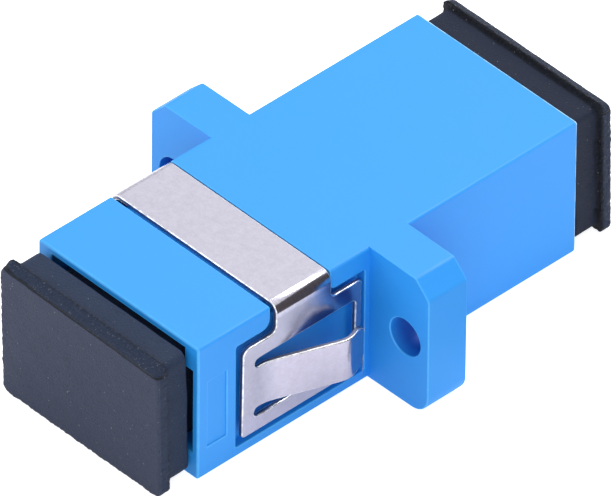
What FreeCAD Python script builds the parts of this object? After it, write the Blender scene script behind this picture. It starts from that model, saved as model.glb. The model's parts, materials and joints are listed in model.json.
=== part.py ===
import FreeCAD, Part
import math
import os

# Single-fibre SC adapter with a fixing flange, a spring panel clip and two dust caps.
# X is the width (through the flange ears), Y the fibre axis, Z up; millimetres.
# The origin lies at mid-length on the underside, and the front port faces -Y.

# Housing, moulded in one piece with its flange.
BODY_WIDTH = 12.8
BODY_LENGTH = 28.5
BODY_HEIGHT = 9.3
BODY_EDGE_RADIUS = 0.18
FLANGE_WIDTH = 22.2
FLANGE_THICK = 2.9
FLANGE_TOP_CHAMFER = 1.07
FLANGE_CHAMFER_RADIUS = 0.35
FLANGE_BOTTOM_RADIUS = 1.3
HOLE_PITCH = 18.5
HOLE_RADIUS = 1.2
AXIS_HEIGHT = BODY_HEIGHT / 2

# Plug ports, one at each end.
PORT_WIDTH = 9.1
PORT_HEIGHT = 7.5
MOUTH_WIDTH = 10.7
MOUTH_HEIGHT = 8.46
MOUTH_DEPTH = 0.9
MOUTH_POCKET_WIDTH = 11.9
MOUTH_POCKET_DEPTH = 2.5
POCKET_WIDTH = 10.6
POCKET_HEIGHT = 5.8
KEYWAY_WIDTH = 2.9
KEYWAY_DEPTH = 0.55
KEYWAY_LENGTH = 9.0
WEB_THICK = 1.2
WEB_HOLE_RADIUS = 2.6

# Side recesses and the groove over the top, where the clip lies. Places along the side
# are measured back from the front face, and heights down from the top.
RECESS_FRONT = 2.85
RECESS_REAR = 12.45
RECESS_TOP = 1.42
RECESS_BOTTOM = 8.62
RECESS_FLOOR_HALF = 5.8
RECESS_CORNER_RADIUS = 0.15
GROOVE_FRONT = 5.37
GROOVE_REAR = 9.84
GROOVE_DEPTH = 0.24
GROOVE_FLOOR_RADIUS = 0.85
GROOVE_FRONT_FILLET = 0.62
GROOVE_REAR_FILLET = 0.45
CORE_MARK_FRONT = 0.75
CORE_MARK_REAR = 2.15
CORE_MARK_TOP = 2.7
CORE_MARK_BOTTOM = 7.3
CORE_MARK_DEPTH = 0.1

# Panel clip, folded from one strip of spring steel. Its legs lean in towards the body.
SHEET = 0.3
CLIP_HALF = 6.62
CLIP_LEAN = 0.85
CLIP_BEND_RADIUS = 0.65
CLIP_FRONT = 3.2
CLIP_REAR = 12.05
CLIP_FRONT_TOP = 1.85
CLIP_REAR_TOP = 1.72
CLIP_BOTTOM = 8.15
CLIP_FRONT_RADIUS = 0.5
CLIP_REAR_RADIUS = 0.2
CLIP_BOTTOM_RADIUS = 0.24
BAND_FRONT = 5.63
BAND_REAR = 9.74
BAND_FILLET = 0.42
WINDOW_FRONT = 4.1
WINDOW_REAR = 11.6
WINDOW_TOP = 2.95
WINDOW_BOTTOM = 7.1
WINDOW_REAR_RADIUS = 0.3
SLOT_END_RADIUS = 0.3
LEAF_TOP = 3.58
LEAF_BOTTOM = 6.48
LEAF_ROOT = 4.42
LEAF_HINGE = 4.95
LEAF_HINGE_RADIUS = 2.9
LEAF_LENGTH = 5.03
LEAF_ANGLE = 20.3
LEAF_KNEE_RADIUS = 1.5
LEAF_TIP_LENGTH = 1.58
LEAF_TIP_ANGLE = -20.0
LEAF_TIP_RADIUS = 0.7

# Inner latch bodies, one per port, and the sleeve that they hold.
LATCH_BASE_THICK = 1.2
LATCH_CLEARANCE = 0.03
BARREL_RADIUS = 2.5
BARREL_REACH = 6.4
BARREL_LIP = 0.55
FERRULE_HOLE_RADIUS = 1.45
BARREL_LEAD_IN = 0.4
LATCH_CORNER_RADIUS = 0.2
ARM_REACH = 8.3
ARM_INNER = 3.55
ARM_THICK = 0.8
ARM_HEIGHT = 3.0
ARM_NOSE = 0.32
ARM_CATCH = 0.6
ARM_CATCH_FRONT = 0.75
ARM_CATCH_FLAT = 0.4
ARM_CATCH_REAR = 0.35
ARM_EDGE_RADIUS = 0.1
SLEEVE_RADIUS = 1.6
SLEEVE_BORE_RADIUS = 1.25
SLEEVE_LENGTH = 11.4
SLEEVE_SLOT = 0.4
SLEEVE_CLEARANCE = 0.05

# Rubber dust caps.
CAP_PLATE_WIDTH = 12.65
CAP_PLATE_HEIGHT = 9.3
CAP_PLATE_THICK = 0.7
CAP_PLATE_BEVEL = 0.18
CAP_CORNER_RADIUS = 0.55
CAP_COLLAR_WIDTH = 12.0
CAP_COLLAR_HEIGHT = 8.6
CAP_COLLAR_LENGTH = 1.75
CAP_GAP = 0.3
CAP_PLUG_CLEARANCE = 0.06
CAP_PLUG_LENGTH = 5.2
CAP_PLUG_RADIUS = 0.6
CAP_PLUG_END_RADIUS = 0.3
CAP_PLUG_WALL = 1.0
CAP_FLOOR = 1.8

FRONT_FACE = -BODY_LENGTH / 2
REAR_FACE = BODY_LENGTH / 2
CLIP_TOP = BODY_HEIGHT - GROOVE_DEPTH + SHEET
PAST = 1.0  # how far a cutting shape runs past the face that it cuts


def across(x, z):
    """A point of a section that is pushed along Y."""
    return FreeCAD.Vector(x, 0, z)


def from_front(along, below):
    """A side-view point, measured back from the front face and down from the top."""
    return FreeCAD.Vector(0, FRONT_FACE + along, BODY_HEIGHT - below)


def plan(x, y):
    """A point of a plan that is pushed along Z."""
    return FreeCAD.Vector(x, y, 0)


def outline(corners, place):
    """A closed wire through (u, v, radius) corners, each rounded by its radius."""
    points = [place(u, v) for u, v, radius in corners]
    starts = []
    ends = []
    for index, (u, v, radius) in enumerate(corners):
        corner = points[index]
        back = (points[index - 1] - corner).normalize()
        ahead = (points[(index + 1) % len(points)] - corner).normalize()
        reach = radius / math.tan(back.getAngle(ahead) / 2)
        starts.append(corner + back * reach)
        ends.append(corner + ahead * reach)
    edges = []
    for index, (u, v, radius) in enumerate(corners):
        if radius:
            corner = points[index]
            middle = ((starts[index] + ends[index]) / 2 - corner).normalize()
            half_turn = (starts[index] - corner).getAngle(middle)
            inset = radius / math.sin(half_turn) - radius
            edges.append(Part.Arc(starts[index], corner + middle * inset, ends[index]).toShape())
        following = starts[(index + 1) % len(points)]
        if (following - ends[index]).Length > 1e-6:
            edges.append(Part.makeLine(ends[index], following))
    return Part.Wire(edges)


def prism(wire, start, push):
    """A solid made by pushing a closed wire from a start offset along a vector."""
    face = Part.Face(wire)
    face.translate(start)
    return face.extrude(push)


def along_y(corners, y0, y1):
    return prism(outline(corners, across), FreeCAD.Vector(0, y0, 0), FreeCAD.Vector(0, y1 - y0, 0))


def through_x(corners, x0, x1):
    return prism(outline(corners, from_front), FreeCAD.Vector(x0, 0, 0), FreeCAD.Vector(x1 - x0, 0, 0))


def centred(width, height, radius=0.0):
    """The corners of a rectangle about the fibre axis."""
    bottom = AXIS_HEIGHT - height / 2
    top = AXIS_HEIGHT + height / 2
    half = width / 2
    return [(-half, bottom, radius), (half, bottom, radius), (half, top, radius), (-half, top, radius)]


def slab(width, height, y0, y1, radius=0.0):
    """A block centred on the fibre axis, with rounded long edges."""
    return along_y(centred(width, height, radius), y0, y1)


def rod(radius, y0, y1, x=0.0):
    start = FreeCAD.Vector(x, y0, AXIS_HEIGHT)
    return Part.makeCylinder(radius, y1 - y0, start, FreeCAD.Vector(0, 1, 0))


def turned_round(shape):
    """The same piece for the other port, turned half a turn about Z."""
    copy = shape.copy()
    copy.rotate(FreeCAD.Vector(0, 0, 0), FreeCAD.Vector(0, 0, 1), 180)
    return copy


def mirrored(shape):
    """The same feature on the other side of the fibre axis."""
    return shape.mirror(FreeCAD.Vector(0, 0, 0), FreeCAD.Vector(1, 0, 0))


def flange():
    half = FLANGE_WIDTH / 2
    plate = along_y(
        [
            (-half, 0, FLANGE_BOTTOM_RADIUS),
            (half, 0, FLANGE_BOTTOM_RADIUS),
            (half, BODY_HEIGHT - FLANGE_TOP_CHAMFER, FLANGE_CHAMFER_RADIUS),
            (half - FLANGE_TOP_CHAMFER, BODY_HEIGHT, FLANGE_CHAMFER_RADIUS),
            (FLANGE_TOP_CHAMFER - half, BODY_HEIGHT, FLANGE_CHAMFER_RADIUS),
            (-half, BODY_HEIGHT - FLANGE_TOP_CHAMFER, FLANGE_CHAMFER_RADIUS),
        ],
        -FLANGE_THICK / 2,
        FLANGE_THICK / 2,
    )
    for side in (-1, 1):
        plate = plate.cut(rod(HOLE_RADIUS, -FLANGE_THICK, FLANGE_THICK, side * HOLE_PITCH / 2))
    return plate


def mouth_lead_in():
    """The tapered entry of the front port."""
    entry = outline(centred(MOUTH_WIDTH, MOUTH_HEIGHT), across)
    entry.translate(FreeCAD.Vector(0, FRONT_FACE, 0))
    throat = outline(centred(PORT_WIDTH, PORT_HEIGHT), across)
    throat.translate(FreeCAD.Vector(0, FRONT_FACE + MOUTH_DEPTH, 0))
    return Part.makeLoft([entry, throat], True, True)


def front_port():
    """The hollow of the front port, from its mouth to the web at mid-length."""
    web_face = -WEB_THICK / 2
    hollow = slab(PORT_WIDTH, PORT_HEIGHT, FRONT_FACE, web_face)
    hollow = hollow.fuse(slab(POCKET_WIDTH, POCKET_HEIGHT, FRONT_FACE, web_face))
    pocket_end = FRONT_FACE + MOUTH_POCKET_DEPTH
    hollow = hollow.fuse(slab(MOUTH_POCKET_WIDTH, POCKET_HEIGHT, FRONT_FACE, pocket_end))
    port_floor = AXIS_HEIGHT - PORT_HEIGHT / 2
    keyway = Part.makeBox(
        KEYWAY_WIDTH,
        KEYWAY_LENGTH,
        KEYWAY_DEPTH + PAST,
        FreeCAD.Vector(-KEYWAY_WIDTH / 2, FRONT_FACE, port_floor - KEYWAY_DEPTH),
    )
    return hollow.fuse(keyway).fuse(mouth_lead_in())


def clip_seat():
    """The skin cut away round the body, under the clip's band and side plates."""
    corner = RECESS_CORNER_RADIUS
    side_view = [
        (RECESS_FRONT, RECESS_BOTTOM, corner),
        (RECESS_FRONT, RECESS_TOP, corner),
        (GROOVE_FRONT, RECESS_TOP, GROOVE_FRONT_FILLET),
        (GROOVE_FRONT, -PAST, 0),
        (GROOVE_REAR, -PAST, 0),
        (GROOVE_REAR, RECESS_TOP, GROOVE_REAR_FILLET),
        (RECESS_REAR, RECESS_TOP, corner),
        (RECESS_REAR, RECESS_BOTTOM, corner),
    ]
    reach = BODY_WIDTH / 2 + PAST
    half = RECESS_FLOOR_HALF
    floor = BODY_HEIGHT - GROOVE_DEPTH
    core = along_y(
        [
            (-half, -PAST, 0),
            (half, -PAST, 0),
            (half, floor, GROOVE_FLOOR_RADIUS),
            (-half, floor, GROOVE_FLOOR_RADIUS),
        ],
        FRONT_FACE,
        REAR_FACE,
    )
    return through_x(side_view, -reach, reach).cut(core)


def core_marks():
    """A shallow rectangle on each side of the body, just behind the front mouth."""
    floor = BODY_WIDTH / 2 - CORE_MARK_DEPTH
    rectangle = [
        (CORE_MARK_FRONT, CORE_MARK_TOP, 0),
        (CORE_MARK_REAR, CORE_MARK_TOP, 0),
        (CORE_MARK_REAR, CORE_MARK_BOTTOM, 0),
        (CORE_MARK_FRONT, CORE_MARK_BOTTOM, 0),
    ]
    mark = through_x(rectangle, floor, floor + PAST)
    return mark.fuse(mirrored(mark))


def housing():
    body = slab(BODY_WIDTH, BODY_HEIGHT, FRONT_FACE, REAR_FACE, BODY_EDGE_RADIUS)
    body = body.fuse(flange()).removeSplitter()
    for hollow in (front_port(), turned_round(front_port()), clip_seat(), core_marks()):
        body = body.cut(hollow)
    return body.cut(rod(WEB_HOLE_RADIUS, -WEB_THICK, WEB_THICK))


def leg_face(z, depth=0.0):
    """X of the +X leg's outer face at a height, or of a face that deep in the sheet."""
    lean = math.radians(CLIP_LEAN)
    return CLIP_HALF - depth / math.cos(lean) - (CLIP_TOP - z) * math.tan(lean)


def folded_strip():
    """The clip's U section, as long as its side plates."""
    low = BODY_HEIGHT - CLIP_BOTTOM
    under = CLIP_TOP - SHEET
    inner_radius = CLIP_BEND_RADIUS - SHEET
    outer_side = [(leg_face(low), low, 0), (leg_face(CLIP_TOP), CLIP_TOP, CLIP_BEND_RADIUS)]
    inner_side = [(leg_face(under, SHEET), under, inner_radius), (leg_face(low, SHEET), low, 0)]
    other_outer = [(-x, z, radius) for x, z, radius in reversed(outer_side)]
    other_inner = [(-x, z, radius) for x, z, radius in reversed(inner_side)]
    section = outer_side + other_outer + other_inner + inner_side
    return along_y(section, FRONT_FACE + CLIP_FRONT, FRONT_FACE + CLIP_REAR)


def clip_blank_outline():
    """The clip's side view: the side plate, with the band rising out of it."""
    return [
        (CLIP_FRONT, CLIP_BOTTOM, CLIP_BOTTOM_RADIUS),
        (CLIP_FRONT, CLIP_FRONT_TOP, CLIP_FRONT_RADIUS),
        (BAND_FRONT, CLIP_FRONT_TOP, BAND_FILLET),
        (BAND_FRONT, -PAST, 0),
        (BAND_REAR, -PAST, 0),
        (BAND_REAR, CLIP_REAR_TOP, BAND_FILLET),
        (CLIP_REAR, CLIP_REAR_TOP, CLIP_REAR_RADIUS),
        (CLIP_REAR, CLIP_BOTTOM, CLIP_BOTTOM_RADIUS),
    ]


def clip_window():
    """The opening round the leaf, with a round-ended slot above and below its root."""
    return [
        (WINDOW_FRONT, WINDOW_TOP, SLOT_END_RADIUS),
        (WINDOW_REAR, WINDOW_TOP, WINDOW_REAR_RADIUS),
        (WINDOW_REAR, WINDOW_BOTTOM, WINDOW_REAR_RADIUS),
        (WINDOW_FRONT, WINDOW_BOTTOM, SLOT_END_RADIUS),
        (WINDOW_FRONT, LEAF_BOTTOM, SLOT_END_RADIUS),
        (LEAF_ROOT, LEAF_BOTTOM, 0),
        (LEAF_ROOT, LEAF_TOP, 0),
        (WINDOW_FRONT, LEAF_TOP, SLOT_END_RADIUS),
    ]


def leaf():
    """The spring leaf on the +X side: a straight flank with its tip folded back in."""
    flank = math.radians(LEAF_ANGLE)
    tip = math.radians(LEAF_TIP_ANGLE)
    root = FRONT_FACE + WINDOW_FRONT - SHEET
    hinge = FreeCAD.Vector(CLIP_HALF, FRONT_FACE + LEAF_HINGE, 0)
    along_flank = FreeCAD.Vector(math.sin(flank), math.cos(flank), 0)
    along_tip = FreeCAD.Vector(math.sin(tip), math.cos(tip), 0)
    knee = hinge + along_flank * LEAF_LENGTH
    end = knee + along_tip * LEAF_TIP_LENGTH
    # The inner face lies one sheet in from each run, and its corners on the bisectors.
    inner_hinge = hinge + FreeCAD.Vector(-1, math.tan(flank / 2), 0) * SHEET
    into_sheet = FreeCAD.Vector(-math.cos(flank), math.sin(flank), 0)
    inner_knee = knee + (into_sheet - along_flank * math.tan((flank - tip) / 2)) * SHEET
    inner_end = end + FreeCAD.Vector(-math.cos(tip), math.sin(tip), 0) * SHEET
    edge = [
        (CLIP_HALF, root, 0),
        (hinge.x, hinge.y, LEAF_HINGE_RADIUS),
        (knee.x, knee.y, LEAF_KNEE_RADIUS),
        (end.x, end.y, 0),
        (inner_end.x, inner_end.y, 0),
        (inner_knee.x, inner_knee.y, LEAF_KNEE_RADIUS - SHEET),
        (inner_hinge.x, inner_hinge.y, LEAF_HINGE_RADIUS - SHEET),
        (CLIP_HALF - SHEET, root, 0),
    ]
    strip = prism(outline(edge, plan), FreeCAD.Vector(0, 0, 0), FreeCAD.Vector(0, 0, BODY_HEIGHT))
    side_view = [
        (WINDOW_FRONT - SHEET, LEAF_TOP, 0),
        (end.y - FRONT_FACE, LEAF_TOP, LEAF_TIP_RADIUS),
        (end.y - FRONT_FACE, LEAF_BOTTOM, LEAF_TIP_RADIUS),
        (WINDOW_FRONT - SHEET, LEAF_BOTTOM, 0),
    ]
    upright = strip.common(through_x(side_view, 0, FLANGE_WIDTH))
    upright.rotate(FreeCAD.Vector(CLIP_HALF, 0, CLIP_TOP), FreeCAD.Vector(0, 1, 0), CLIP_LEAN)
    return upright


def panel_clip():
    reach = BODY_WIDTH
    blank = folded_strip().common(through_x(clip_blank_outline(), -reach, reach))
    blank = blank.cut(through_x(clip_window(), -reach, reach))
    clip = blank.fuse(leaf()).fuse(mirrored(leaf()))
    return clip.removeSplitter()


def latch_arm():
    """The +X arm of the front latch body: a strap with a catch turned in at its tip."""
    inner = ARM_INNER
    outer = ARM_INNER + ARM_THICK
    root = -(WEB_THICK + LATCH_BASE_THICK) / 2
    tip = -ARM_REACH
    catch = inner - ARM_CATCH
    catch_front = tip + ARM_CATCH_FRONT
    catch_rear = catch_front + ARM_CATCH_FLAT
    edge = [
        (outer, root, 0),
        (outer, tip + ARM_NOSE, ARM_EDGE_RADIUS),
        (outer - ARM_NOSE, tip, ARM_EDGE_RADIUS),
        (inner, tip, ARM_EDGE_RADIUS),
        (catch, catch_front, ARM_EDGE_RADIUS),
        (catch, catch_rear, ARM_EDGE_RADIUS),
        (inner, catch_rear + ARM_CATCH_REAR, ARM_EDGE_RADIUS),
        (inner, root, 0),
    ]
    low = FreeCAD.Vector(0, 0, AXIS_HEIGHT - ARM_HEIGHT / 2)
    return prism(outline(edge, plan), low, FreeCAD.Vector(0, 0, ARM_HEIGHT))


def front_latch_body():
    """Base against the web, half of the sleeve's barrel, and two arms for the plug."""
    web_face = -WEB_THICK / 2
    base_front = web_face - LATCH_BASE_THICK
    gap = 2 * LATCH_CLEARANCE
    corner = LATCH_CORNER_RADIUS
    base = slab(PORT_WIDTH - gap, PORT_HEIGHT - gap, base_front, web_face, corner)
    base = base.fuse(slab(POCKET_WIDTH - gap, POCKET_HEIGHT - gap, base_front, web_face, corner))
    barrel = rod(BARREL_RADIUS, -BARREL_REACH, 0)
    body = base.fuse(barrel).fuse(latch_arm()).fuse(mirrored(latch_arm()))
    body = body.cut(rod(SLEEVE_RADIUS + SLEEVE_CLEARANCE, -BARREL_REACH + BARREL_LIP, 0))
    body = body.cut(rod(FERRULE_HOLE_RADIUS, -BARREL_REACH, 0))
    lead_in = Part.makeCone(
        FERRULE_HOLE_RADIUS + BARREL_LEAD_IN,
        FERRULE_HOLE_RADIUS,
        BARREL_LEAD_IN,
        FreeCAD.Vector(0, -BARREL_REACH, AXIS_HEIGHT),
        FreeCAD.Vector(0, 1, 0),
    )
    return body.cut(lead_in).removeSplitter()


def split_sleeve():
    """A ceramic tube slit along its length, which grips the two ferrules."""
    half = SLEEVE_LENGTH / 2
    tube = rod(SLEEVE_RADIUS, -half, half).cut(rod(SLEEVE_BORE_RADIUS, -half, half))
    slit = Part.makeBox(
        SLEEVE_SLOT,
        SLEEVE_LENGTH,
        SLEEVE_RADIUS + PAST,
        FreeCAD.Vector(-SLEEVE_SLOT / 2, -half, AXIS_HEIGHT),
    )
    return tube.cut(slit)


def front_dust_cap():
    """Cover plate, collar outside the mouth, and a hollow plug that fills the port."""
    collar_end = FRONT_FACE - CAP_GAP
    plate_back = collar_end - CAP_COLLAR_LENGTH
    plate_front = plate_back - CAP_PLATE_THICK
    plate = slab(CAP_PLATE_WIDTH, CAP_PLATE_HEIGHT, plate_front, plate_back, CAP_CORNER_RADIUS)
    front_edges = min(plate.Faces, key=lambda face: face.CenterOfMass.y).Edges
    plate = plate.makeFillet(CAP_PLATE_BEVEL, front_edges)
    collar = slab(CAP_COLLAR_WIDTH, CAP_COLLAR_HEIGHT, plate_back, collar_end, CAP_CORNER_RADIUS)
    plug_width = PORT_WIDTH - 2 * CAP_PLUG_CLEARANCE
    plug_height = PORT_HEIGHT - 2 * CAP_PLUG_CLEARANCE
    plug_end = FRONT_FACE + CAP_PLUG_LENGTH
    plug = slab(plug_width, plug_height, collar_end, plug_end, CAP_PLUG_RADIUS)
    end_edges = max(plug.Faces, key=lambda face: face.CenterOfMass.y).Edges
    plug = plug.makeFillet(CAP_PLUG_END_RADIUS, end_edges)
    wall = 2 * CAP_PLUG_WALL
    core_radius = CAP_PLUG_RADIUS / 2
    core = slab(plug_width - wall, plug_height - wall, plate_front + CAP_FLOOR, plug_end, core_radius)
    return plate.fuse(collar).fuse(plug).cut(core).removeSplitter()


def write_steps():
    os.makedirs("parts", exist_ok=True)
    pieces = {
        "housing": housing(),
        "panel_clip": panel_clip(),
        "front_latch_body": front_latch_body(),
        "rear_latch_body": turned_round(front_latch_body()),
        "split_sleeve": split_sleeve(),
        "front_dust_cap": front_dust_cap(),
        "rear_dust_cap": turned_round(front_dust_cap()),
    }
    for name, shape in pieces.items():
        shape.exportStep(f"parts/{name}.step")
        box = shape.BoundBox
        print(
            f"{name}: solids {len(shape.Solids)}, valid {shape.isValid()}, volume {shape.Volume:.2f} mm3, "
            f"X {box.XMin:.2f}..{box.XMax:.2f}, Y {box.YMin:.2f}..{box.YMax:.2f}, "
            f"Z {box.ZMin:.2f}..{box.ZMax:.2f}"
        )


write_steps()
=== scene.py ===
import bpy
import json
import math
from mathutils import Matrix, Vector

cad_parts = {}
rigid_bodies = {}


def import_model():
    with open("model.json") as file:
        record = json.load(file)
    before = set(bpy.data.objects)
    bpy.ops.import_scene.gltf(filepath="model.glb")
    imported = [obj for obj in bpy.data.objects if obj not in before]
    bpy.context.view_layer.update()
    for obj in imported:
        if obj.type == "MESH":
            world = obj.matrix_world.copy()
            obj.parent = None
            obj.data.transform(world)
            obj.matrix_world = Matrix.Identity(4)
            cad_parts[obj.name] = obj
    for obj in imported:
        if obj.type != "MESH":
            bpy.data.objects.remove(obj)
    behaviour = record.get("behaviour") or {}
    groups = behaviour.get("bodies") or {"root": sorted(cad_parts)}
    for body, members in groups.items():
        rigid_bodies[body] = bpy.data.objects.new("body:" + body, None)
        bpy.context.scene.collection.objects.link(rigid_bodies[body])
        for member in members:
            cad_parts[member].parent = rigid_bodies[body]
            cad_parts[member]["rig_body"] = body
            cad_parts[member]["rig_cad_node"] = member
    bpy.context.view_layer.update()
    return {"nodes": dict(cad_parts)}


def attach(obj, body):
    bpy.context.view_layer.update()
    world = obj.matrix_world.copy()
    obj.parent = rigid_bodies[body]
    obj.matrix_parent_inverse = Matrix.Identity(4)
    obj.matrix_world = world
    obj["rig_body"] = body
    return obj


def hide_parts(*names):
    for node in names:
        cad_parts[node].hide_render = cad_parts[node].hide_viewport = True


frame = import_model()
nodes = frame["nodes"]
mm = 0.001
print("frame loaded:", len(nodes), "nodes")


class Wire:
    # an output socket that Python's own operators work on
    def __init__(self, finish, socket):
        self.finish = finish
        self.socket = socket

    def maths(self, operation, first, second=0.0):
        return self.finish.node("ShaderNodeMath", {"operation": operation}, {0: first, 1: second})

    def __add__(self, other):
        return self.maths("ADD", self, other)

    def __radd__(self, other):
        return self.maths("ADD", other, self)

    def __sub__(self, other):
        return self.maths("SUBTRACT", self, other)

    def __rsub__(self, other):
        return self.maths("SUBTRACT", other, self)

    def __mul__(self, other):
        return self.maths("MULTIPLY", self, other)

    def __rmul__(self, other):
        return self.maths("MULTIPLY", other, self)

    def __pow__(self, other):
        return self.maths("POWER", self, other)

    def __abs__(self):
        return self.maths("ABSOLUTE", self)


class Finish:
    # one material, built up around its Principled shader
    def __init__(self, name, **fixed):
        self.material = bpy.data.materials.new(name)
        self.material.use_nodes = True
        self.tree = self.material.node_tree
        self.shader = self.tree.nodes["Principled BSDF"]
        for socketName, value in fixed.items():
            self.shader.inputs[socketName.replace("_", " ")].default_value = value

    def node(self, kind, settings=None, inputs=None, output=0):
        made = self.tree.nodes.new(kind)
        for setting, value in (settings or {}).items():
            if setting == "stops":
                self.setStops(made.color_ramp.elements, value)
            else:
                setattr(made, setting, value)
        for socket, value in (inputs or {}).items():
            self.feed(made.inputs[socket], value)
        return Wire(self, made.outputs[output])

    def setStops(self, elements, stops):
        while len(elements) < len(stops):
            elements.new(1.0)
        for element, (position, grey) in zip(elements, stops):
            element.position = position
            element.color = (grey, grey, grey, 1.0)

    def feed(self, socket, value):
        if isinstance(value, Wire):
            self.tree.links.new(value.socket, socket)
        else:
            socket.default_value = value

    def drive(self, socketName, value):
        self.feed(self.shader.inputs[socketName], value)

    def place(self):
        return self.node("ShaderNodeTexCoord", output="Object")

    def across(self, axis):
        # how far a point lies along one axis, in metres
        return self.node("ShaderNodeSeparateXYZ", None, {"Vector": self.place()}, "XYZ".index(axis))

    def noise(self, size, detail=2.0, rough=0.5, stretch=(1, 1, 1), shift=(0, 0, 0)):
        # size is the width of a blotch in metres, along each axis times stretch
        scale = tuple(1 / (size * s) for s in stretch)
        mapping = {"Vector": self.place(), "Location": shift, "Scale": scale}
        spot = self.node("ShaderNodeMapping", None, mapping)
        pattern = {"Vector": spot, "Scale": 1.0, "Detail": detail, "Roughness": rough}
        return self.node("ShaderNodeTexNoise", None, pattern)

    def ramp(self, value, *stops):
        return self.node("ShaderNodeValToRGB", {"stops": stops}, {"Fac": value})

    def blend(self, factor, first, second):
        # the Mix node's colours are its sockets 6 and 7, and its colour output is number 2
        return self.node("ShaderNodeMix", {"data_type": "RGBA"}, {0: factor, 6: first, 7: second}, 2)

    def step(self, value, low, high):
        # 0 below low, 1 above high
        reach = {"Value": value, "From Min": low, "From Max": high}
        return self.node("ShaderNodeMapRange", {"interpolation_type": "SMOOTHSTEP"}, reach)

    def bump(self, height, depth):
        return self.node("ShaderNodeBump", None, {"Height": height, "Distance": depth, "Strength": 1.0})


def housingBlue():
    look = {
        "colour": (0.010, 0.285, 0.820, 1),
        "pale": (0.015, 0.298, 0.840, 1),
        "deep": (0.000, 0.080, 0.45, 1),
        "roughness": 0.55,
        "roughSwing": 0.10,
        "cloudSize": 2.2 * mm,
        "grainSize": 0.10 * mm,
        "grainShare": 0.25,
        "relief": 0.006 * mm,
        "holeX": 9.25 * mm,
        "axisHeight": 4.65 * mm,
        "holeEdge": (1.23 * mm, 1.29 * mm),
        "holeInside": (-1.45 * mm, -0.4 * mm),
        "holeShade": 0.9,
        "holeFloor": 0.35,
        "mouthHalf": 5.97 * mm,
        "mouthDepth": 2.5 * mm,
        "mouthStep": 0.01 * mm,
        "portHalf": 5.5 * mm,
        "wallFade": 0.05 * mm,
        "portTop": (4.25 * mm, 4.3 * mm),
        "portFrom": 14.12 * mm,
        "portFade": 0.5 * mm,
        "portShade": 0.8,
    }
    finish = Finish("housingBlue", IOR=1.52)
    cloud = finish.noise(look["cloudSize"], detail=3)
    grain = finish.noise(look["grainSize"], detail=2)
    shade = finish.blend(cloud, look["colour"], look["pale"])
    across = abs(finish.across("X"))
    along = finish.across("Y")
    upward = finish.across("Z") - look["axisHeight"]
    # painted shade darkens the inside of the two flange holes
    sideways = across - look["holeX"]
    away = (sideways * sideways + upward * upward) ** 0.5
    hole = 1 - finish.step(away, *look["holeEdge"])
    hole = hole * (look["holeFloor"] + finish.step(along, *look["holeInside"]) * (1 - look["holeFloor"]))
    # and painted shade inside the two ports, which are wider just behind their mouths
    mouthEnd = look["portFrom"] - look["mouthDepth"]
    inMouth = finish.step(abs(along), mouthEnd, mouthEnd + look["mouthStep"])
    wall = look["portHalf"] + inMouth * (look["mouthHalf"] - look["portHalf"])
    port = 1 - finish.step(across - wall, 0, look["wallFade"])
    port = port * (1 - finish.step(abs(upward), *look["portTop"]))
    port = port * (1 - finish.step(abs(along), look["portFrom"] - look["portFade"], look["portFrom"]))
    # the painted shade of the holes and the ports, mixed into the plastic's colour
    dark = hole * look["holeShade"] + port * look["portShade"]
    finish.drive("Base Color", finish.blend(dark, shade, look["deep"]))
    finish.drive("Roughness", look["roughness"] + (cloud - 0.5) * look["roughSwing"])
    finish.drive("Normal", finish.bump(grain * look["grainShare"] + cloud, look["relief"]))
    return finish.material


def housingEdge():
    # the same plastic along its arrises, painted paler as an edge highlight and scuffed pale
    look = {
        "colour": (0.022, 0.340, 0.900, 1),
        "scuff": (0.10, 0.52, 0.98, 1),
        "flash": (0.55, 0.76, 0.95, 1),
        "roughness": 0.45,
        "nickRough": 0.1,
        "rubSize": 0.7 * mm,
        "rubShare": 0.6,
        "nickSize": 0.16 * mm,
        "nickStops": ((0.62, 0.0), (0.72, 1.0)),
        "nickShare": 0.5,
        "relief": 0.012 * mm,
        "flashFrom": (14.13 * mm, 14.15 * mm),
        "outsideX": (6.20 * mm, 6.25 * mm),
        "outsideZ": (9.10 * mm, 9.15 * mm),
        "patchStops": ((0.38, 0.10), (0.60, 0.80)),
    }
    finish = Finish("housingEdge", IOR=1.52)
    rub = finish.noise(look["rubSize"], detail=4, rough=0.65)
    nick = finish.noise(look["nickSize"], detail=2, shift=(1, 6, 2))
    nick = finish.ramp(nick, *look["nickStops"])
    worn = rub * look["rubShare"] + nick * look["nickShare"]
    # pale scuffs and nicks, their paleness partly a painted highlight
    shade = finish.blend(worn, look["colour"], look["scuff"])
    # a broken pale thread of flash runs along the rear mouth's outer arris, its paleness a painted
    # highlight
    flash = finish.step(finish.across("Y"), *look["flashFrom"])
    outside = finish.step(abs(finish.across("X")), *look["outsideX"])
    outside = outside + finish.step(finish.across("Z"), *look["outsideZ"])
    patchy = finish.ramp(rub, *look["patchStops"])
    finish.drive("Base Color", finish.blend(flash * outside * patchy, shade, look["flash"]))
    finish.drive("Roughness", look["roughness"] + nick * look["nickRough"])
    finish.drive("Normal", finish.bump(rub + nick * look["nickShare"], look["relief"]))
    return finish.material


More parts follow.
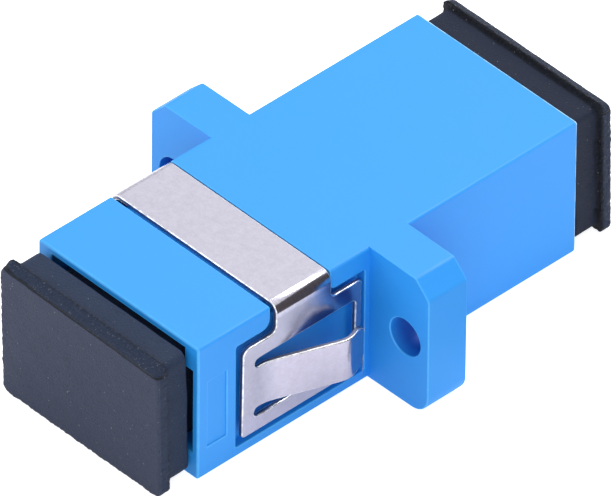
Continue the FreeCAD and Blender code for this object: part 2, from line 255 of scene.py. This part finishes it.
def clipSteel():
    look = {
        "band": (0.715, 0.70, 0.81, 1),
        "flank": (0.525, 0.515, 0.630, 1),
        "foot": (0.56, 0.55, 0.70, 1),
        "leaf": (0.575, 0.55, 0.665, 1),
        "grime": (0.10, 0.09, 0.14, 1),
        "roughness": 0.13,
        "cloudSize": 0.40 * mm,
        "mottleStops": ((0.35, 0.0), (0.65, 1.0)),
        "mottleShare": 0.12,
        "speckSize": 0.10 * mm,
        "speckShare": 0.22,
        "speckRough": 0.10,
        "speckHeight": 0.6,
        "streakSize": 0.09 * mm,
        "streakStops": ((0.40, 0.0), (0.60, 1.0)),
        "streakShare": 0.35,
        "streakRough": 0.07,
        "relief": 0.003 * mm,
        "flankFrom": (1.6 * mm, 3.4 * mm),
        "leafFrom": (6.66 * mm, 6.80 * mm),
        "bandFrom": (8.3 * mm, 8.6 * mm),
        "bendFrom": (8.64 * mm, 8.76 * mm),
        "bendOutside": (5.98 * mm, 6.06 * mm),
        "bendFlatness": 0.8,
    }
    finish = Finish("clipSteel", Metallic=1.0)
    cloud = finish.noise(look["cloudSize"], detail=6, rough=0.75)
    speck = finish.noise(look["speckSize"], detail=3, rough=0.7, shift=(5, 2, 1))
    mottle = finish.ramp(cloud, *look["mottleStops"])
    # painted reflection: the flanks are painted darker than the band, and the foot and the leaves lie
    # between the two
    height = finish.across("Z")
    across = abs(finish.across("X"))
    tone = finish.blend(finish.step(height, *look["flankFrom"]), look["foot"], look["flank"])
    tone = finish.blend(finish.step(across, *look["leafFrom"]), tone, look["leaf"])
    tone = finish.blend(finish.step(height, *look["bandFrom"]), tone, look["band"])
    dull = mottle * look["mottleShare"] + speck * look["speckShare"]
    shade = finish.blend(dull, tone, look["grime"])
    # the bend is drawn: fine streaks run round it, some rough and some dark, the dark ones partly a
    # painted reflection
    bend = finish.step(height, *look["bendFrom"]) * finish.step(across, *look["bendOutside"])
    streak = finish.noise(look["streakSize"], detail=3, rough=0.7, stretch=(4, 1, 4), shift=(0, 3, 0))
    streak = bend * finish.ramp(streak, *look["streakStops"])
    # dark streaks in the bend, partly a painted reflection
    finish.drive("Base Color", finish.blend(streak * look["streakShare"], shade, look["grime"]))
    rough = speck * look["speckRough"] * (1 - bend) + streak * look["streakRough"]
    finish.drive("Roughness", look["roughness"] + rough)
    dents = (speck * look["speckHeight"] + cloud) * (1 - bend * look["bendFlatness"])
    finish.drive("Normal", finish.bump(dents, look["relief"]))
    return finish.material


def shearedSteel():
    # the cut faces, dull and finely torn
    look = {
        "colour": (0.30, 0.30, 0.36, 1),
        "torn": (0.12, 0.12, 0.16, 1),
        "roughness": 0.38,
        "tearRough": 0.2,
        "tearSize": 0.12 * mm,
        "relief": 0.008 * mm,
    }
    finish = Finish("shearedSteel", Metallic=1.0)
    tear = finish.noise(look["tearSize"], detail=3, rough=0.7)
    finish.drive("Base Color", finish.blend(tear, look["colour"], look["torn"]))
    finish.drive("Roughness", look["roughness"] + tear * look["tearRough"])
    finish.drive("Normal", finish.bump(tear, look["relief"]))
    return finish.material


def burnishedSteel():
    # the rolled arrises, rubbed bright and painted brighter still as a highlight, but chipped
    look = {
        "colour": (0.93, 0.93, 0.96, 1),
        "chip": (0.22, 0.20, 0.22, 1),
        "roughness": 0.28,
        "chipRough": 0.1,
        "chipShare": 0.75,
        "chipStops": ((0.42, 0.0), (0.66, 1.0)),
        "chipSize": 0.45 * mm,
        "relief": 0.004 * mm,
    }
    finish = Finish("burnishedSteel", Metallic=1.0)
    chip = finish.noise(look["chipSize"], detail=4, rough=0.7)
    chip = finish.ramp(chip, *look["chipStops"])
    finish.drive("Base Color", finish.blend(chip * look["chipShare"], look["colour"], look["chip"]))
    finish.drive("Roughness", look["roughness"] + chip * look["chipRough"])
    finish.drive("Normal", finish.bump(chip, look["relief"]))
    return finish.material


def capRubber():
    look = {
        "core": (0.010, 0.023, 0.058, 1),
        # the rear cap's collar, painted darker as shade
        "rear": (0.001, 0.006, 0.024, 1),
        # the plates' faces, painted lighter as a sheen
        "face": (0.030, 0.040, 0.078, 1),
        "dust": (0.40, 0.41, 0.45, 1),
        # dark colour: painted shade in the crease and the seam, and the pits
        "crease": (0.003, 0.005, 0.012, 1),
        "roughness": 0.66,
        "roughSwing": 0.15,
        "relief": 0.030 * mm,
        "cloudSize": 1.6 * mm,
        "grainSize": 0.14 * mm,
        "pitStops": ((0.34, 1.0), (0.46, 0.0)),
        "gravelSize": 0.17 * mm,
        "crumbStops": ((0.60, 0.0), (0.70, 1.0)),
        "speckSize": 0.13 * mm,
        "speckStops": ((0.75, 0.0), (0.80, 1.0)),
        "wanderSize": 0.8 * mm,
        "wander": 0.16 * mm,
        "axisHeight": 4.65 * mm,
        "lean": 0.0215,
        "rearFrom": (0, 1 * mm),
        "seamAt": 16.22 * mm,
        "seamHalf": (0.10 * mm, 0.24 * mm),
        "seamStops": ((0.40, 0.7), (0.56, 0.0)),
        "seamFloor": 0.25,
        "seamWander": 0.5,
        "plateFade": 0.1 * mm,
        "plateHides": 0.8,
        "faceFrom": (16.80 * mm, 16.88 * mm),
        "faceLevel": 0.80,
        "faceSwing": 0.3,
        "flashFrom": 8.80 * mm,
        "flashFade": 0.05 * mm,
        "flashTilt": 0.02,
        "flashHides": 0.8,
        "rearCoarse": 0.6,
        "creaseHalf": (0.03 * mm, 0.08 * mm),
        # how much of each layer's colour shows
        "cloudShows": 0.12,
        "creaseShows": 0.9,
        "seamShows": 0.8,
        "pitsShow": 0.45,
        "speckShows": 0.55,
        "crumbsShow": 0.26,
        # how far each one stands up, and the crease and the seam lie deeper
        "grainHeight": 2.6,
        "cloudHeight": 0.8,
        "gravelHeight": 7,
        "creaseHeight": -4,
        "seamHeight": -3,
    }
    finish = Finish("capRubber", IOR=1.36)
    # the plates lean a little, and so does what is measured along them
    leaning = finish.across("Y") + (finish.across("Z") - look["axisHeight"]) * look["lean"]
    along = abs(leaning)
    behind = finish.step(leaning, *look["rearFrom"])
    onPlate = finish.step(along, look["seamAt"], look["seamAt"] + look["plateFade"])
    cloud = finish.noise(look["cloudSize"], detail=4, rough=0.6)
    grain = finish.noise(look["grainSize"], detail=3, rough=0.75)
    gravel = finish.noise(look["gravelSize"], detail=3, rough=0.75, shift=(2, 5, 1))
    wander = (finish.noise(look["wanderSize"], detail=3, shift=(4, 0, 2)) - 0.5) * look["wander"]
    # a strip of coarse flash lies along the plates' top, with a crease under it that holds a painted
    # shadow
    level = finish.across("Z") + wander + finish.across("X") * look["flashTilt"] - look["flashFrom"]
    flash = finish.step(level, 0, look["flashFade"]) * onPlate
    crease = (1 - finish.step(abs(level), *look["creaseHalf"])) * onPlate
    coarse = flash + behind * onPlate * look["rearCoarse"]
    # painted shade runs round behind each plate along its seam, deepest at the rear
    fromSeam = abs(along + wander * look["seamWander"] - look["seamAt"])
    seam = 1 - finish.step(fromSeam, *look["seamHalf"])
    gaps = finish.ramp(gravel, *look["seamStops"])
    seam = seam * (look["seamFloor"] + behind * (1 - look["seamFloor"]) + gaps)
    onFace = finish.step(along, *look["faceFrom"]) * (1 - flash * look["flashHides"])
    speck = finish.noise(look["speckSize"], detail=1, shift=(3, 1, 7))
    speck = finish.ramp(speck, *look["speckStops"])
    crumbs = finish.ramp(gravel, *look["crumbStops"]) * coarse
    pits = finish.ramp(grain, *look["pitStops"])
    # painted shade: the rear cap's collar is darker than the front cap's
    tone = finish.blend(behind * (1 - onPlate * look["plateHides"]), look["core"], look["rear"])
    # painted sheen: the plates' faces are lighter, and a mottle runs over all
    worn = onFace * (look["faceLevel"] + cloud * look["faceSwing"]) + cloud * look["cloudShows"]
    shade = finish.blend(worn, tone, look["face"])
    # painted shadow in the crease, painted shade along the seam, and dark pits in the grain
    sunk = crease * look["creaseShows"] + seam * look["seamShows"] + pits * look["pitsShow"]
    shade = finish.blend(sunk, shade, look["crease"])
    dusty = speck * look["speckShows"] + crumbs * look["crumbsShow"]
    finish.drive("Base Color", finish.blend(dusty, shade, look["dust"]))
    finish.drive("Roughness", look["roughness"] + (cloud - 0.5) * look["roughSwing"])
    ridges = grain * look["grainHeight"] + cloud * look["cloudHeight"]
    ridges = ridges + gravel * (coarse + seam) * look["gravelHeight"]
    ridges = ridges + crease * look["creaseHeight"] + seam * look["seamHeight"]
    finish.drive("Normal", finish.bump(ridges, look["relief"]))
    return finish.material


def latchWhite():
    look = {
        "colour": (0.86, 0.85, 0.81, 1),
        "shadow": (0.80, 0.79, 0.76, 1),
        "roughness": 0.42,
        "roughSwing": 0.1,
        "cloudSize": 1.5 * mm,
        "grainSize": 0.08 * mm,
        "relief": 0.004 * mm,
    }
    finish = Finish("latchWhite", IOR=1.5)
    cloud = finish.noise(look["cloudSize"], detail=3)
    finish.drive("Base Color", finish.blend(cloud, look["colour"], look["shadow"]))
    finish.drive("Roughness", look["roughness"] + (cloud - 0.5) * look["roughSwing"])
    finish.drive("Normal", finish.bump(finish.noise(look["grainSize"]) + cloud, look["relief"]))
    return finish.material


def sleeveCeramic():
    look = {
        "colour": (0.93, 0.92, 0.88, 1),
        "shadow": (0.89, 0.88, 0.85, 1),
        "roughness": 0.10,
        "cloudRough": 0.06,
        "cloudSize": 0.8 * mm,
        "grainSize": 0.04 * mm,
        "relief": 0.001 * mm,
    }
    finish = Finish("sleeveCeramic", IOR=2.0)
    cloud = finish.noise(look["cloudSize"], detail=2)
    finish.drive("Base Color", finish.blend(cloud, look["colour"], look["shadow"]))
    finish.drive("Roughness", look["roughness"] + cloud * look["cloudRough"])
    finish.drive("Normal", finish.bump(finish.noise(look["grainSize"]), look["relief"]))
    return finish.material


def dress(piece, *materials):
    piece.data.materials.clear()
    for material in materials:
        piece.data.materials.append(material)


def deselectAll():
    if bpy.context.mode != "OBJECT":
        bpy.ops.object.mode_set(mode="OBJECT")
    bpy.ops.object.select_all(action="DESELECT")


def makeActive(piece):
    deselectAll()
    piece.select_set(True)
    bpy.context.view_layer.objects.active = piece


def modify(piece, kind, **settings):
    makeActive(piece)
    modifier = piece.modifiers.new(kind.title(), kind)
    for setting, value in settings.items():
        setattr(modifier, setting, value)
    bpy.ops.object.modifier_apply(modifier=modifier.name)


def mergedCopy(node, name):
    # a copy of a CAD node whose loose triangles are joined into faces
    merging = {"gap": 0.0005 * mm, "flat": math.radians(0.5)}
    makeActive(nodes[node])
    bpy.ops.object.duplicate()
    piece = bpy.context.active_object
    piece.name = name
    piece.data.name = name
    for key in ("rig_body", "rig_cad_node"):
        if key in piece:
            del piece[key]
    piece.parent = None
    makeActive(piece)
    bpy.ops.object.mode_set(mode="EDIT")
    bpy.ops.mesh.select_all(action="SELECT")
    bpy.ops.mesh.remove_doubles(threshold=merging["gap"])
    bpy.ops.mesh.dissolve_limited(angle_limit=merging["flat"])
    bpy.ops.object.mode_set(mode="OBJECT")
    return piece


def outwardEdges(piece, sharpness):
    # the sharp edges that stick out, by the turn between their two faces
    mesh = piece.data
    sides = {}
    for face in mesh.polygons:
        for key in face.edge_keys:
            sides.setdefault(key, []).append(face)
    found = []
    for edge in mesh.edges:
        pair = sides.get(tuple(sorted(edge.vertices)), [])
        if len(pair) != 2 or pair[0].normal.angle(pair[1].normal, 0) < sharpness:
            continue
        start, end = (mesh.vertices[v].co for v in edge.vertices)
        loop = list(pair[0].vertices)
        place = loop.index(edge.vertices[0])
        forward = loop[(place + 1) % len(loop)] == edge.vertices[1]
        inward = pair[0].normal.cross(end - start if forward else start - end)
        if pair[1].normal.dot(inward) < 0:
            found.append(edge.index)
    return found


def soften(piece, width, segments, finishSlot, wide=None, wideBy=1):
    # rounds the outward edges, some of them wider, in a material slot of their own
    angles = {"sharp": math.radians(28), "smooth": math.radians(35)}
    weights = piece.data.attributes.new("bevel_weight_edge", "FLOAT", "EDGE")
    for index in outwardEdges(piece, angles["sharp"]):
        ends = piece.data.edges[index].vertices
        wider = wide and all(wide(piece.data.vertices[v].co) for v in ends)
        weights.data[index].value = 1 if wider else 1 / wideBy
    modify(
        piece,
        "BEVEL",
        width=width * wideBy,
        segments=segments,
        limit_method="WEIGHT",
        use_clamp_overlap=False,
        loop_slide=False,
        material=finishSlot,
    )
    makeActive(piece)
    bpy.ops.object.shade_smooth_by_angle(angle=angles["smooth"])
    modify(piece, "WEIGHTED_NORMAL", mode="FACE_AREA", weight=50, keep_sharp=True)


def buildHousing():
    edges = {
        "round": 0.07 * mm,
        "steps": 3,
        "mouthWider": 1.8,
        "end": 14.25 * mm,
        "halfWidth": 6.4 * mm,
        "top": 9.3 * mm,
        "rim": 0.1 * mm,
        "hair": 0.01 * mm,
    }
    piece = mergedCopy("housing", "housingShell")
    dress(piece, housingBlue(), housingEdge())

    def onMouth(co):
        outer = max(abs(co.x) - edges["halfWidth"], co.z - edges["top"], -co.z)
        return abs(co.y) > edges["end"] - edges["hair"] and outer > -edges["rim"]

    soften(piece, edges["round"], edges["steps"], 1, onMouth, edges["mouthWider"])
    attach(piece, "adapter")
    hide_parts("housing")


def buildClip():
    edges = {"round": 0.07 * mm, "steps": 3, "bendFloor": 8.3 * mm, "lying": 0.05, "endOn": 0.6}
    piece = mergedCopy("panel_clip", "springClip")
    dress(piece, clipSteel(), shearedSteel(), burnishedSteel())
    for face in piece.data.polygons:
        normal = face.normal
        lying = abs(normal.x) < edges["lying"] and face.center.z < edges["bendFloor"]
        if abs(normal.y) > edges["endOn"] or lying:
            face.material_index = 1  # sheared
    soften(piece, edges["round"], edges["steps"], 2)
    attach(piece, "adapter")
    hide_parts("panel_clip")


def pick(piece, kind, wanted):
    # leaves the piece in edit mode with the wanted faces or edges selected
    makeActive(piece)
    bpy.ops.object.mode_set(mode="EDIT")
    bpy.ops.mesh.select_mode(type=kind)
    bpy.ops.mesh.select_all(action="DESELECT")
    bpy.ops.object.mode_set(mode="OBJECT")
    for part in piece.data.polygons if kind == "FACE" else piece.data.edges:
        part.select = wanted(part)
    bpy.ops.object.mode_set(mode="EDIT")


def block(name, size, span, middle, corner, rim, topDrop=0):
    # a block with rounded long edges and a softened front rim, in millimetres
    steps = {"corner": 6, "rim": 3}
    hair = 0.01
    width, height = size
    front, back = span
    deselectAll()
    bpy.ops.mesh.primitive_cube_add(size=1, location=(0, (front + back) / 2, middle))
    piece = bpy.context.active_object
    piece.name = name
    piece.scale = (width, back - front, height)
    bpy.ops.object.transform_apply(location=True, rotation=True, scale=True)

    def ends(edge):
        return [piece.data.vertices[v].co for v in edge.vertices]

    def inFront(edge):
        return all(co.y < front + hair for co in ends(edge))

    def inBack(edge):
        return all(co.y > back - hair for co in ends(edge))

    if topDrop:
        pick(piece, "EDGE", lambda edge: inFront(edge) and all(co.z > middle for co in ends(edge)))
        bpy.ops.transform.translate(value=(0, 0, -topDrop))
    pick(piece, "EDGE", lambda edge: not inFront(edge) and not inBack(edge))
    bpy.ops.mesh.bevel(offset=corner, segments=steps["corner"], affect="EDGES")
    pick(piece, "EDGE", inFront)
    bpy.ops.mesh.bevel(offset=rim, segments=steps["rim"], affect="EDGES")
    bpy.ops.object.mode_set(mode="OBJECT")
    return piece


def capBlank(name, cap):
    # the front cap in millimetres: plate, collar and hollow plug, fused into one skin
    middle = cap["axisHeight"]
    face = cap["collarEnd"]
    plateBack = cap["plateBack"]
    corner = cap["corner"]
    lap = cap["lap"]
    plain = cap["plainRim"]
    width, height = cap["collar"]
    neckSize = (width - 2 * cap["grooveDepth"], height - 2 * cap["grooveDepth"])
    plateSpan = (cap["plateFront"], plateBack + lap)
    collarSpan = (plateBack + cap["groove"], face)
    neckSpan = (plateBack - lap, face - 2 * lap)
    plugSpan = (face - cap["plugRoot"], cap["plugEnd"])
    plate = block("plate", cap["plate"], plateSpan, middle, corner, cap["rim"], cap["topDrop"])
    collar = block("collar", cap["collar"], collarSpan, middle, corner, plain)
    neck = block("neck", neckSize, neckSpan, middle, corner, plain)
    tilt = -math.radians(cap["lean"])
    for piece in (plate, collar, neck):
        makeActive(piece)
        piece.location = (cap["shift"][0], 0, cap["shift"][1])
        bpy.ops.object.transform_apply(location=True, rotation=False, scale=False)
        bpy.ops.transform.rotate(value=tilt, orient_axis="X", center_override=(0, face, middle))
        bpy.ops.object.transform_apply(location=True, rotation=True, scale=True)
    plug = block("plug", cap["plug"], plugSpan, middle, cap["plugCorner"], plain)
    pick(plug, "FACE", lambda side: side.normal.y > cap["squareOn"])
    for half in range(2):  # one inset as thick as the wall would cross itself at the corners
        bpy.ops.mesh.inset(thickness=cap["wall"] / 2, use_even_offset=True)
    depth = cap["hollowEnd"] - cap["plugEnd"]
    bpy.ops.mesh.extrude_region_move(TRANSFORM_OT_translate={"value": (0, depth, 0)})
    bpy.ops.object.mode_set(mode="OBJECT")
    makeActive(plug)
    for piece in (plate, collar, neck):
        piece.select_set(True)
    bpy.ops.object.join()
    plug.name = name
    plug.data.name = name
    modify(plug, "REMESH", mode="VOXEL", voxel_size=cap["skin"], use_smooth_shade=True)
    return plug


def roughen(piece, name, size, depth, group=""):
    # pushes the surface in and out by a noise of this size, all in millimetres
    lumps = bpy.data.textures.new(name, "CLOUDS")
    lumps.noise_scale = size
    lumps.noise_depth = 2
    modify(
        piece,
        "DISPLACE",
        texture=lumps,
        texture_coords="LOCAL",
        strength=depth,
        mid_level=0.5,
        vertex_group=group,
    )


def markRim(piece, cap):
    # weights the vertices near the plate's outer edge, where the moulding is ragged
    width, height = cap["plate"]
    group = piece.vertex_groups.new(name="rim")
    for vertex in piece.data.vertices:
        spot = vertex.co
        if spot.y > cap["plateBack"] + cap["rimReach"]:
            continue
        inside = min(width / 2 - abs(spot.x), height / 2 - abs(spot.z - cap["axisHeight"]))
        weight = max(0.0, 1.0 - max(inside, 0.0) / cap["rimWidth"])
        if weight > 0:
            group.add([vertex.index], weight, "REPLACE")


def buildCaps():
    rubber = capRubber()
    mouth = -14.25
    cap = {
        "plate": (12.70, 9.35),
        "plateFront": mouth - 2.75,
        "plateBack": mouth - 2.05,
        "topDrop": 0.42,
        "axisHeight": 4.65,
        "corner": 0.55,
        "rim": 0.14,
        "plainRim": 0.02,
        "collar": (12.0, 8.6),
        "collarEnd": mouth - 0.3,
        "groove": 0.20,
        "grooveDepth": 0.24,
        "lap": 0.1,
        "plug": (8.98, 7.38),
        "plugRoot": 0.5,
        "plugCorner": 0.55,
        "plugEnd": mouth + 5.2,
        "wall": 1.0,
        "squareOn": 0.9,
        "hollowEnd": mouth - 0.9,
        "skin": 0.105,
        "rimReach": 0.25,
        "rimWidth": 0.45,
        "waveSize": 1.1,
        "waves": 0.05,
        "raggedSize": 0.22,
        "ragged": 0.12,
    }
    sits = {
        "front": {"shift": (-0.10, 0.06), "lean": 1.25},
        "rear": {"shift": (0.0, -0.02), "lean": -1.2, "corner": 0.36, "groove": 0.28, "grooveDepth": 0.34},
    }
    for end in ("front", "rear"):
        cap.update(sits[end])
        piece = capBlank(end + "Cap", cap)
        markRim(piece, cap)
        if end == "rear":
            makeActive(piece)
            piece.rotation_euler = (0, 0, math.pi)
            bpy.ops.object.transform_apply(location=True, rotation=True, scale=True)
        roughen(piece, end + "Waves", cap["waveSize"], cap["waves"])
        roughen(piece, end + "Ragged", cap["raggedSize"], cap["ragged"], "rim")
        makeActive(piece)
        piece.scale = (mm, mm, mm)
        bpy.ops.object.transform_apply(location=True, rotation=True, scale=True)
        bpy.ops.object.shade_smooth()
        print(piece.name, len(piece.data.polygons), "faces")
        dress(piece, rubber)
        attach(piece, end + "_cap")
        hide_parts(end + "_dust_cap")


def dressInside():
    white = latchWhite()
    for end in ("front", "rear"):
        dress(nodes[end + "_latch_body"], white)
    dress(nodes["split_sleeve"], sleeveCeramic())


def layFloor():
    # plain paper, white to the camera and dimmer in what it lends the object
    paper = {"size": 1.2, "colour": (0.80, 0.80, 0.81, 1), "glow": 0.80, "bounce": 0.55}
    bpy.ops.mesh.primitive_plane_add(size=paper["size"])
    floor = bpy.context.active_object
    floor.name = "floor"
    finish = Finish("floorPaper", Base_Color=paper["colour"], Roughness=0.9)
    plain = Wire(finish, finish.shader.outputs[0])
    toCamera = finish.node("ShaderNodeLightPath", output="Is Camera Ray")
    seen = paper["bounce"] + toCamera * (1 - paper["bounce"])
    glow = finish.node("ShaderNodeEmission", None, {"Color": (1, 1, 1, 1), "Strength": paper["glow"]})
    both = finish.node("ShaderNodeAddShader", None, {0: plain, 1: glow})
    mixed = finish.node("ShaderNodeMixShader", None, {0: seen, 1: plain, 2: both})
    finish.feed(finish.tree.nodes["Material Output"].inputs["Surface"], mixed)
    dress(floor, finish.material)


def hangSky():
    # a white world, at full strength only to the camera and to reflections
    strength = 0.55
    world = bpy.data.worlds.new("studioSky")
    world.use_nodes = True
    tree = world.node_tree
    sky = tree.nodes["Background"]
    sky.inputs["Color"].default_value = (1, 1, 1, 1)
    path = tree.nodes.new("ShaderNodeLightPath")
    either = tree.nodes.new("ShaderNodeMath")
    either.operation = "MAXIMUM"
    tree.links.new(path.outputs["Is Camera Ray"], either.inputs[0])
    tree.links.new(path.outputs["Is Glossy Ray"], either.inputs[1])
    level = tree.nodes.new("ShaderNodeMapRange")
    level.inputs["To Min"].default_value = strength
    tree.links.new(either.outputs[0], level.inputs["Value"])
    tree.links.new(level.outputs[0], sky.inputs["Strength"])
    bpy.context.scene.world = world


def placeLamps():
    lamps = {
        "back": {"energy": 1.9, "at": (-0.03, 0.27, 0.42), "size": (0.28, 0.12)},
        "side": {"energy": 0.92, "at": (0.43, -0.43, 0.30), "size": (0.30, 0.30)},
        "fill": {"energy": 0.75, "at": (-0.34, -0.46, 0.26), "size": (0.30, 0.30)},
    }
    for name, softbox in lamps.items():
        bpy.ops.object.light_add(type="AREA", location=softbox["at"])
        lamp = bpy.context.active_object
        lamp.name = name + "Softbox"
        lamp.data.shape = "RECTANGLE"
        lamp.data.size, lamp.data.size_y = softbox["size"]
        lamp.data.energy = softbox["energy"]
        lamp.rotation_euler = (-Vector(softbox["at"])).to_track_quat("-Z", "Y").to_euler()


def standCards():
    # dark cards that only reflections see, as painted reflections: the flag stands beside the clip and
    # gives its bend a dark line, and the card lies at the flange's foot as a painted shadow and darkens
    # the neck of its flank
    cards = {
        "flag": {
            "at": (0.0165, -0.0005, 0.0112),
            "turn": (90, 0, -50),
            "size": (0.018, 0.022),
            "colour": (0.11, 0.092, 0.085, 1),
        },
        "card": {
            "at": (0.0126, -0.0006, 0.0001),
            "turn": (0, 0, -17),
            "size": (0.0009, 0.0030),
            "colour": (0.05, 0.09, 0.17, 1),
        },
    }
    for name, card in cards.items():
        turn = tuple(math.radians(degrees) for degrees in card["turn"])
        bpy.ops.mesh.primitive_plane_add(size=1, rotation=turn)
        board = bpy.context.active_object
        board.name = name
        board.location = card["at"]
        board.scale = (*card["size"], 1)
        dress(board, Finish(name + "Paper", Base_Color=card["colour"], Roughness=0.9).material)
        board.visible_camera = False
        board.visible_diffuse = False
        board.visible_shadow = False


def placeCamera():
    shot = {
        "azimuth": 46.42,
        "elevation": 40.23,
        "roll": 0.54,
        "distance": 1.2432,
        "lens": 1327.9,
        "sensor": 36,
        "right": -0.063 * mm,
        "up": 3.39 * mm,
    }
    azimuth = math.radians(shot["azimuth"])
    elevation = math.radians(shot["elevation"])
    roll = math.radians(shot["roll"])
    outward = Vector((math.sin(azimuth), -math.cos(azimuth), 0))
    back = outward * math.cos(elevation) + Vector((0, 0, math.sin(elevation)))
    level = Vector((math.cos(azimuth), math.sin(azimuth), 0))
    upright = back.cross(level)
    right = level * math.cos(roll) + upright * math.sin(roll)
    up = upright * math.cos(roll) - level * math.sin(roll)
    spot = back * shot["distance"] + right * shot["right"] + up * shot["up"]
    lensData = bpy.data.cameras.new("shotCamera")
    lensData.lens = shot["lens"]
    lensData.sensor_width = shot["sensor"]
    lensData.sensor_fit = "HORIZONTAL"
    lensData.clip_start = 0.05
    lensData.clip_end = 10
    shotCamera = bpy.data.objects.new("shotCamera", lensData)
    bpy.context.scene.collection.objects.link(shotCamera)
    turn = Matrix((right, up, back)).transposed().to_4x4()
    shotCamera.matrix_world = Matrix.Translation(spot) @ turn
    bpy.context.scene.camera = shotCamera


buildHousing()
print("housing made")
buildClip()
print("clip made")
buildCaps()
print("caps made")
dressInside()
print("inner pieces dressed")
layFloor()
hangSky()
placeLamps()
standCards()
placeCamera()
print("studio and camera set")

bpy.context.scene.view_settings.view_transform = "Standard"
